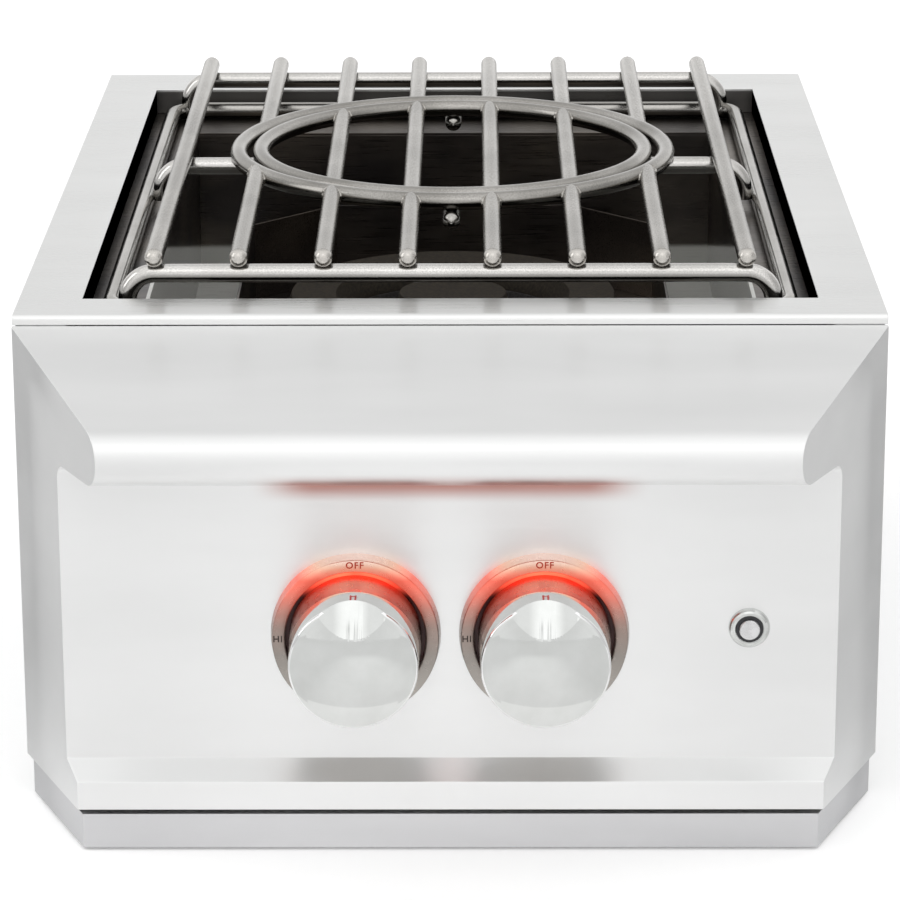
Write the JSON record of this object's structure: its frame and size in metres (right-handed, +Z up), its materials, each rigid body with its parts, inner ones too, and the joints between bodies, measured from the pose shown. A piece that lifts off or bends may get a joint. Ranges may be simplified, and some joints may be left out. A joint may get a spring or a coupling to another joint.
{
  "type": "power burner",
  "caption": "Drop-in gas power burner for an outdoor kitchen: round-bar grate with a lift-out ring over a ring burner, two lit knobs, a light switch and a pull-out drip tray.",
  "frame": {"origin": "on the surface it stands on, midway between the front panel's nose and the deck's rear edge, on the middle plane", "axes": "+X to the right seen from the front, +Y to the back, +Z up; the control panel faces -Y"},
  "size_m": [0.432, 0.6804, 0.2758],
  "materials": {
    "brushed_stainless": "fine horizontal brushing",
    "body_steel": "mill-finish sheet",
    "heat_tinted_steel": "darkened by heat",
    "cast_burner": "rough cast",
    "brass_caps": "turned, dulled by heat",
    "pipe_steel": "plain",
    "white_ceramic": "glazed ceramic",
    "valve_brass": "machined",
    "knob_chrome": "polished",
    "red_inlay": "enamel",
    "dial_steel": "turned satin",
    "light_ring": "glowing red acrylic",
    "black_plastic": "moulded",
    "button_steel": "satin",
    "grate_steel": "bead-blasted round bar"
  },
  "bodies": {
    "chassis": {"deck_frame": "brushed_stainless", "front_panel": "brushed_stainless", "side_wall_left": "body_steel", "side_wall_right": "body_steel", "rear_wall": "body_steel", "front_crossrail": "body_steel", "heat_shield": "body_steel", "tray_runners": "body_steel", "firebox_ledge": "heat_tinted_steel", "firebox_well": "heat_tinted_steel", "wind_guard": "heat_tinted_steel", "burner_brackets": "heat_tinted_steel", "burner_base": "cast_burner", "outer_burner_cap": "brass_caps", "inner_burner_cap": "brass_caps", "outer_mixer_tube": "pipe_steel", "inner_mixer_tube": "pipe_steel", "gas_manifold": "pipe_steel", "igniter_bracket": "heat_tinted_steel", "igniter_ceramic": "white_ceramic", "igniter_electrode": "pipe_steel", "valve_body_left": "valve_brass", "valve_body_right": "valve_brass", "gas_orifices": "valve_brass", "supply_elbow": "valve_brass", "supply_pipe": "pipe_steel", "inlet_fitting": "valve_brass", "dial_ring_left": "dial_steel", "dial_ring_right": "dial_steel", "light_ring_left": "light_ring", "light_ring_right": "light_ring", "switch_body": "black_plastic", "switch_collar": "knob_chrome", "switch_nut": "pipe_steel", "power_socket": "black_plastic", "panel_screws": "pipe_steel", "valve_screws": "pipe_steel", "bracket_screws": "pipe_steel"},
    "grate": {"grate_rods": "grate_steel", "grate_outer_ring": "grate_steel", "cross_bar_front": "grate_steel", "cross_bar_rear": "grate_steel", "side_ring_rests": "grate_steel", "end_ring_rests": "grate_steel", "grate_base_loop": "grate_steel"},
    "lift_out": {"lift_out_ring": "grate_steel", "lift_out_rods": "grate_steel"},
    "drip_tray": {"tray_pan": "body_steel", "tray_front": "brushed_stainless"},
    "left_valve_plug": {"valve_plug_left": "valve_brass", "valve_spring_left": "pipe_steel"},
    "left_knob": {"knob_left": "knob_chrome", "pointer_left": "red_inlay", "valve_stem_left": "pipe_steel"},
    "right_valve_plug": {"valve_plug_right": "valve_brass", "valve_spring_right": "pipe_steel"},
    "right_knob": {"knob_right": "knob_chrome", "pointer_right": "red_inlay", "valve_stem_right": "pipe_steel"},
    "light_button": {"switch_button": "button_steel"}
  },
  "joints": [
    {"name": "grate_lift", "type": "slide", "parent": "chassis", "child": "grate", "axis": [0, 0, 1], "range_m": [0, 0.1]},
    {"name": "lift_out_lift", "type": "slide", "parent": "grate", "child": "lift_out", "axis": [0, 0, 1], "range_m": [0, 0.1]},
    {"name": "tray_slide", "type": "slide", "parent": "chassis", "child": "drip_tray", "axis": [0, -1, 0], "range_m": [0, 0.4]},
    {"name": "left_knob_turn", "type": "hinge", "parent": "chassis", "child": "left_valve_plug", "pos_m": [-0.046, -0.29135, 0.109], "axis": [0, -1, 0], "range_deg": [0, 180]},
    {"name": "left_knob_push", "type": "slide", "parent": "left_valve_plug", "child": "left_knob", "axis": [0, 1, 0], "range_m": [0, 0.003], "stiffness_N_per_m": 1500, "springref_m": -0.002, "deforming": ["valve_spring_left"]},
    {"name": "right_knob_turn", "type": "hinge", "parent": "chassis", "child": "right_valve_plug", "pos_m": [0.046, -0.29135, 0.109], "axis": [0, -1, 0], "range_deg": [0, 180]},
    {"name": "right_knob_push", "type": "slide", "parent": "right_valve_plug", "child": "right_knob", "axis": [0, 1, 0], "range_m": [0, 0.003], "stiffness_N_per_m": 1500, "springref_m": -0.002, "deforming": ["valve_spring_right"]},
    {"name": "light_button_press", "type": "slide", "parent": "chassis", "child": "light_button", "axis": [0, 1, 0], "range_m": [0, 0.0015], "stiffness_N_per_m": 600, "springref_m": -0.002}
  ]
}
